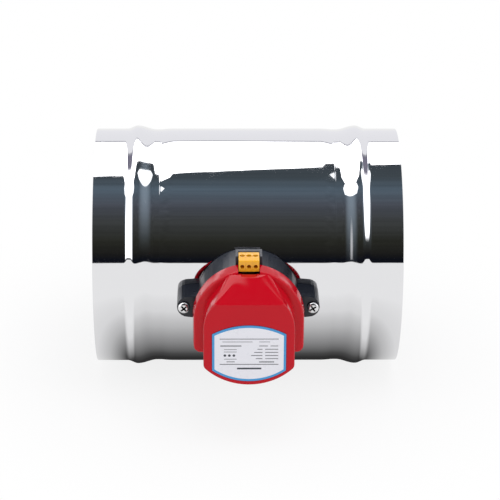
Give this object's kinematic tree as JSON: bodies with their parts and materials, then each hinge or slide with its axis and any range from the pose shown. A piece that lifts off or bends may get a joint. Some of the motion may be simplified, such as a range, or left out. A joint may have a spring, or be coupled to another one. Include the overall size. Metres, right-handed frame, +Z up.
{
  "type": "motorized damper",
  "caption": "Round in-line duct damper: polished beaded tube with a sealed butterfly blade on a through shaft, turned by a small side-mounted rotary actuator in a red and black moulded case.",
  "frame": {"origin": "where the duct's axis crosses the blade shaft's axis", "axes": "+X along the duct, -Y along the blade shaft towards the actuator, +Z up, towards the terminal block's side"},
  "size_m": [0.192, 0.2103, 0.154],
  "materials": {
    "duct_stainless": "mirror-polished stainless sheet",
    "blade_stainless": "satin stainless sheet",
    "bright_steel": "bright turned steel",
    "plated_steel": "zinc-plated steel",
    "screw_chrome": "bright plated screw",
    "brass": "bright brass",
    "copper_winding": "enamelled copper wire",
    "black_plastic": "fine-textured black moulding",
    "red_plastic": "glossy red moulding",
    "terminal_plastic": "amber moulding",
    "natural_nylon": "natural nylon",
    "acetal": "white acetal",
    "rubber": "matt sheet rubber",
    "magnet": "ferrite",
    "board": "green laminate",
    "capacitor_yellow": "moulded film capacitor",
    "resistor_blue": "lacquered resistor",
    "switch_black": "black switch case",
    "plunger_red": "red switch plunger",
    "label_film": "white film with a blue edge"
  },
  "bodies": {
    "housing": {"duct_tube": "duct_stainless", "drive_bush": "natural_nylon", "idle_bush": "natural_nylon", "idle_clip": "plated_steel", "actuator_base": "black_plastic", "actuator_cover": "red_plastic", "label_plate": "label_film", "mount_screw_left": "screw_chrome", "mount_screw_right": "screw_chrome", "cover_screw_1": "plated_steel", "cover_screw_2": "plated_steel", "terminal_block": "terminal_plastic", "terminal_screw_1": "plated_steel", "terminal_screw_2": "plated_steel", "terminal_screw_3": "plated_steel", "circuit_board": "board", "film_capacitor": "capacitor_yellow", "drop_resistor": "resistor_blue", "closed_switch_body": "switch_black", "open_switch_body": "switch_black", "gearbox_rear_plate": "plated_steel", "gearbox_front_plate": "plated_steel", "gearbox_post_1": "bright_steel", "gearbox_post_2": "bright_steel", "gearbox_post_3": "bright_steel", "gear_axle_1": "bright_steel", "gear_axle_2": "bright_steel", "motor_screw_1": "plated_steel", "motor_screw_2": "plated_steel", "motor_can": "plated_steel", "coil_bobbin": "natural_nylon", "coil_winding": "copper_winding", "stator_poles": "plated_steel"},
    "blade": {"blade_shaft": "bright_steel", "blade_plate_left": "blade_stainless", "blade_plate_right": "blade_stainless", "blade_seal_upper": "rubber", "blade_seal_lower": "rubber", "blade_rivet_1": "bright_steel", "blade_rivet_2": "bright_steel", "blade_rivet_3": "bright_steel", "blade_rivet_4": "bright_steel", "shaft_rivet_1": "bright_steel", "shaft_rivet_2": "bright_steel", "cam_hub": "natural_nylon", "hub_set_screw": "plated_steel", "output_gear": "brass"},
    "second_wheel": {"second_gear": "brass"},
    "first_wheel": {"first_gear": "acetal"},
    "rotor": {"rotor_pinion": "bright_steel", "rotor_magnet": "magnet"},
    "closed_plunger": {"closed_switch_plunger": "plunger_red"},
    "open_plunger": {"open_switch_plunger": "plunger_red"}
  },
  "joints": [
    {"name": "blade_rotation", "type": "hinge", "parent": "housing", "child": "blade", "pos_m": [0, 0, 0], "axis": [0, -1, 0], "range_deg": [0, 90]},
    {"name": "second_gear_spin", "type": "hinge", "parent": "housing", "child": "second_wheel", "pos_m": [0.01392, -0.1, 0.00021], "axis": [0, -1, 0], "range_deg": [-325, 0]},
    {"name": "first_gear_spin", "type": "hinge", "parent": "housing", "child": "first_wheel", "pos_m": [0.01139, -0.106, -0.01165], "axis": [0, -1, 0], "range_deg": [0, 973]},
    {"name": "rotor_spin", "type": "hinge", "parent": "housing", "child": "rotor", "pos_m": [0, -0.118, -0.0075], "axis": [0, -1, 0], "range_deg": [-2918, 0]},
    {"name": "closed_plunger_travel", "type": "slide", "parent": "housing", "child": "closed_plunger", "axis": [-1, 0, 0], "range_m": [0, 0.0006]},
    {"name": "open_plunger_travel", "type": "slide", "parent": "housing", "child": "open_plunger", "axis": [-1, 0, 0], "range_m": [0, 0.0006]}
  ],
  "couplings": [
    {"joint": "second_gear_spin", "follows": "blade_rotation", "ratio": -3.6},
    {"joint": "first_gear_spin", "follows": "blade_rotation", "ratio": 10.8},
    {"joint": "rotor_spin", "follows": "blade_rotation", "ratio": -32.4},
    {"joint": "closed_plunger_travel", "follows": "blade_rotation", "m_per_rad": 0.00038},
    {"joint": "open_plunger_travel", "follows": "blade_rotation", "m_per_rad": 0.00038}
  ]
}
